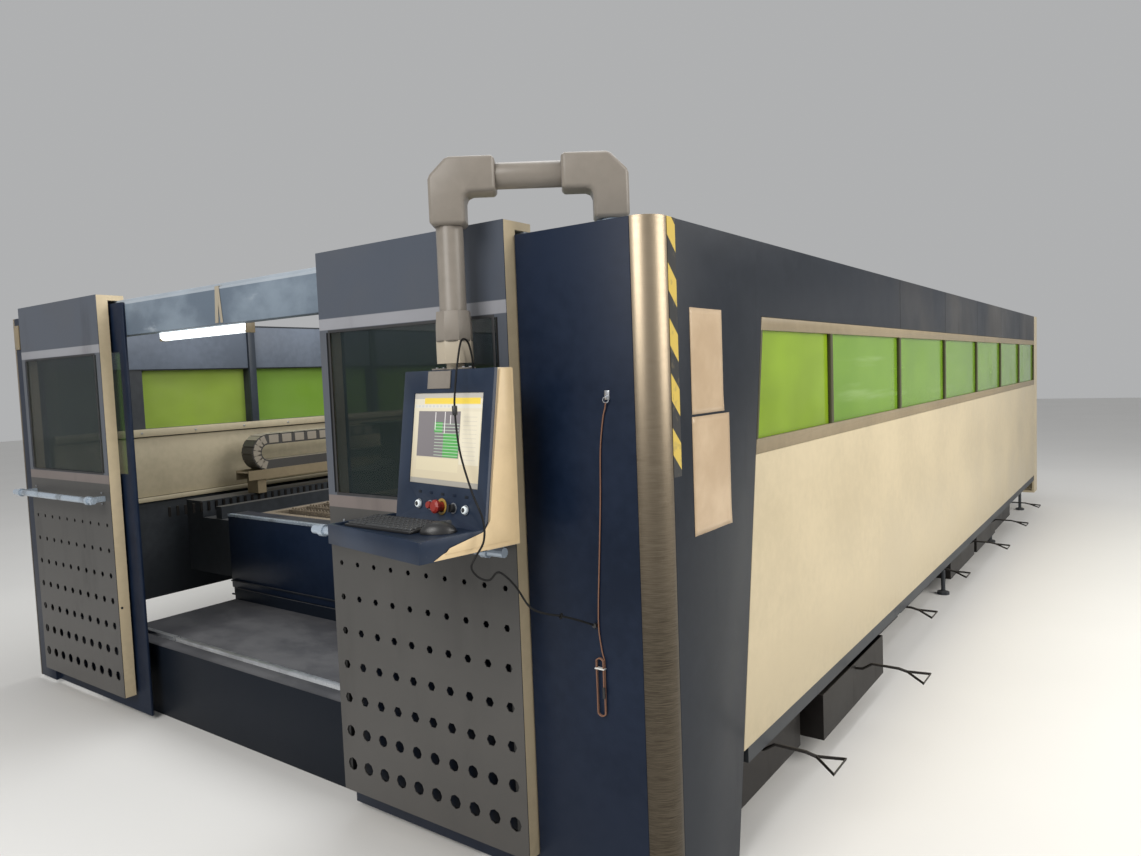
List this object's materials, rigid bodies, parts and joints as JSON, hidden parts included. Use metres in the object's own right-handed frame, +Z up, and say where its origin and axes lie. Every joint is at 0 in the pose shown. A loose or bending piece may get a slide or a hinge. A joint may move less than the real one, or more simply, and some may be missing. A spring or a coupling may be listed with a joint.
{
  "type": "fiber laser cutting machine",
  "caption": "Enclosed sheet-metal laser cutter: long walled bed with slatted pallet, gantry, sliding front doors, scrap drawers and an operator console on a swivel arm.",
  "frame": {"origin": "on the floor under the middle of the machine's box, levelling feet at Z 0", "axes": "+Z up, +Y from the operator's end to the rear, +X to the right when facing the front doors"},
  "size_m": [4.3977, 8.5693, 2.224],
  "materials": {
    "navy_paint": "satin powder coat, dark navy",
    "slate_paint": "satin powder coat, slate",
    "beam_blue": "satin powder coat, steel blue, chalky worn patches",
    "cream_paint": "satin powder coat, cream",
    "door_grey": "satin powder coat, grey bands",
    "window_grey": "satin powder coat, light warm grey",
    "green_pane": "green laser-safe sheet",
    "dark_pane": "dark green laser-safe sheet",
    "brushed": "brushed, vertical grain",
    "bare_steel": "bare, lightly scuffed",
    "black_steel": "mill scale and black paint, worn",
    "chain_plastic": "moulded, dusty",
    "arm_paint": "satin powder coat, warm grey",
    "lamp": "milky diffuser",
    "console_paint": "satin powder coat, navy front, beige sides",
    "screen": "display with a plain drawing",
    "black_plastic": "moulded black plastic",
    "red_plastic": "moulded red plastic",
    "white_plastic": "moulded white plastic in a steel ring",
    "lead_black": "black cable jacket",
    "lead_brown": "brown cable jacket"
  },
  "bodies": {
    "root": {"right_wall_frame": "slate_paint", "right_end_panel": "navy_paint", "right_lower_panel": "cream_paint", "right_window_frame": "window_grey", "right_window_pane": "green_pane", "right_corner_column": "brushed", "right_front_panel": "navy_paint", "right_front_pane": "dark_pane", "left_wall_frame": "slate_paint", "left_end_panel": "navy_paint", "left_lower_panel": "cream_paint", "left_window_frame": "window_grey", "left_window_pane": "green_pane", "left_corner_column": "brushed", "left_front_panel": "navy_paint", "left_front_pane": "dark_pane", "header_beam": "beam_blue", "work_light": "lamp", "bed_frame": "slate_paint", "front_step": "slate_paint", "bed_front_cover": "navy_paint", "energy_chain": "chain_plastic", "chain_tray": "window_grey", "rear_wall": "cream_paint", "panel_lead": "lead_brown", "lead_hank": "lead_brown"},
    "left_door": {"left_door_skin": "door_grey", "left_door_frame": "cream_paint", "left_door_window": "dark_pane", "left_door_handle": "bare_steel"},
    "right_door": {"right_door_skin": "door_grey", "right_door_frame": "cream_paint", "right_door_window": "dark_pane", "right_door_handle": "bare_steel"},
    "gantry": {"gantry_beam": "slate_paint"},
    "carriage": {"head_carriage": "beam_blue"},
    "head": {"z_slide": "window_grey", "cutting_head": "bare_steel"},
    "pallet": {"pallet": "black_steel"},
    "arm": {"rear_elbow": "arm_paint", "arm_tube": "arm_paint", "front_elbow": "arm_paint", "drop_tube": "arm_paint"},
    "console": {"console_housing": "console_paint", "screen": "screen", "keyboard": "black_plastic", "mouse": "black_plastic", "console_lead": "lead_black"},
    "start_button": {"start_button": "white_plastic"},
    "stop_button": {"stop_button": "red_plastic"},
    "emergency_stop": {"emergency_stop": "red_plastic"},
    "selector_switch": {"selector_switch": "black_plastic"},
    "reset_button": {"reset_button": "white_plastic"},
    "drawer_1": {"scrap_drawer_1": "black_steel"},
    "drawer_2": {"scrap_drawer_2": "black_steel"},
    "drawer_3": {"scrap_drawer_3": "black_steel"},
    "drawer_4": {"scrap_drawer_4": "black_steel"},
    "drawer_5": {"scrap_drawer_5": "black_steel"},
    "drawer_6": {"scrap_drawer_6": "black_steel"},
    "drawer_7": {"scrap_drawer_7": "black_steel"}
  },
  "joints": [
    {"name": "left_door_slide", "type": "slide", "parent": "root", "child": "left_door", "axis": [1, 0, 0], "range_m": [0, 0.82]},
    {"name": "right_door_slide", "type": "slide", "parent": "root", "child": "right_door", "axis": [-1, 0, 0], "range_m": [0, 0.82]},
    {"name": "gantry_travel", "type": "slide", "parent": "root", "child": "gantry", "axis": [0, 1, 0], "range_m": [-0.5, 4.9], "deforming": ["energy_chain"]},
    {"name": "carriage_traverse", "type": "slide", "parent": "gantry", "child": "carriage", "axis": [1, 0, 0], "range_m": [-1.15, 1.15]},
    {"name": "head_lift", "type": "slide", "parent": "carriage", "child": "head", "axis": [0, 0, 1], "range_m": [-0.05, 0.12]},
    {"name": "arm_swivel", "type": "hinge", "parent": "root", "child": "arm", "pos_m": [1.6865, -3.6685, 2.036], "axis": [0, 0, 1], "range_deg": [0, 75], "deforming": ["console_lead"]},
    {"name": "console_swivel", "type": "hinge", "parent": "arm", "child": "console", "pos_m": [1.305, -3.9457, 1.7035], "axis": [0, 0, 1], "range_deg": [0, 20], "deforming": ["console_lead"]},
    {"name": "start_button_press", "type": "slide", "parent": "console", "child": "start_button", "axis": [0.1721, 0.976, -0.1336], "range_m": [0, 0.004], "stiffness_N_per_m": 300},
    {"name": "stop_button_press", "type": "slide", "parent": "console", "child": "stop_button", "axis": [0.1721, 0.976, -0.1336], "range_m": [0, 0.004], "stiffness_N_per_m": 300},
    {"name": "emergency_stop_press", "type": "slide", "parent": "console", "child": "emergency_stop", "axis": [0.1721, 0.976, -0.1336], "range_m": [0, 0.006], "stiffness_N_per_m": 300},
    {"name": "selector_turn", "type": "hinge", "parent": "console", "child": "selector_switch", "pos_m": [1.3605, -4.0398, 1.2265], "axis": [-0.1721, -0.976, 0.1336], "range_deg": [0, 60]},
    {"name": "reset_button_press", "type": "slide", "parent": "console", "child": "reset_button", "axis": [0.1721, 0.976, -0.1336], "range_m": [0, 0.004], "stiffness_N_per_m": 300},
    {"name": "pallet_travel", "type": "slide", "parent": "root", "child": "pallet", "axis": [0, 1, 0], "range_m": [0, 6.6]},
    {"name": "drawer_1_slide", "type": "slide", "parent": "root", "child": "drawer_1", "axis": [1, 0, 0], "range_m": [-0.115, 1.2]},
    {"name": "drawer_2_slide", "type": "slide", "parent": "root", "child": "drawer_2", "axis": [1, 0, 0], "range_m": [-0.18, 1.2]},
    {"name": "drawer_3_slide", "type": "slide", "parent": "root", "child": "drawer_3", "axis": [1, 0, 0], "range_m": [-0.01, 1.2]},
    {"name": "drawer_4_slide", "type": "slide", "parent": "root", "child": "drawer_4", "axis": [1, 0, 0], "range_m": [-0.006, 1.2]},
    {"name": "drawer_5_slide", "type": "slide", "parent": "root", "child": "drawer_5", "axis": [1, 0, 0], "range_m": [-0.1, 1.2]},
    {"name": "drawer_6_slide", "type": "slide", "parent": "root", "child": "drawer_6", "axis": [1, 0, 0], "range_m": [-0.104, 1.2]},
    {"name": "drawer_7_slide", "type": "slide", "parent": "root", "child": "drawer_7", "axis": [1, 0, 0], "range_m": [-0.09, 1.2]}
  ]
}
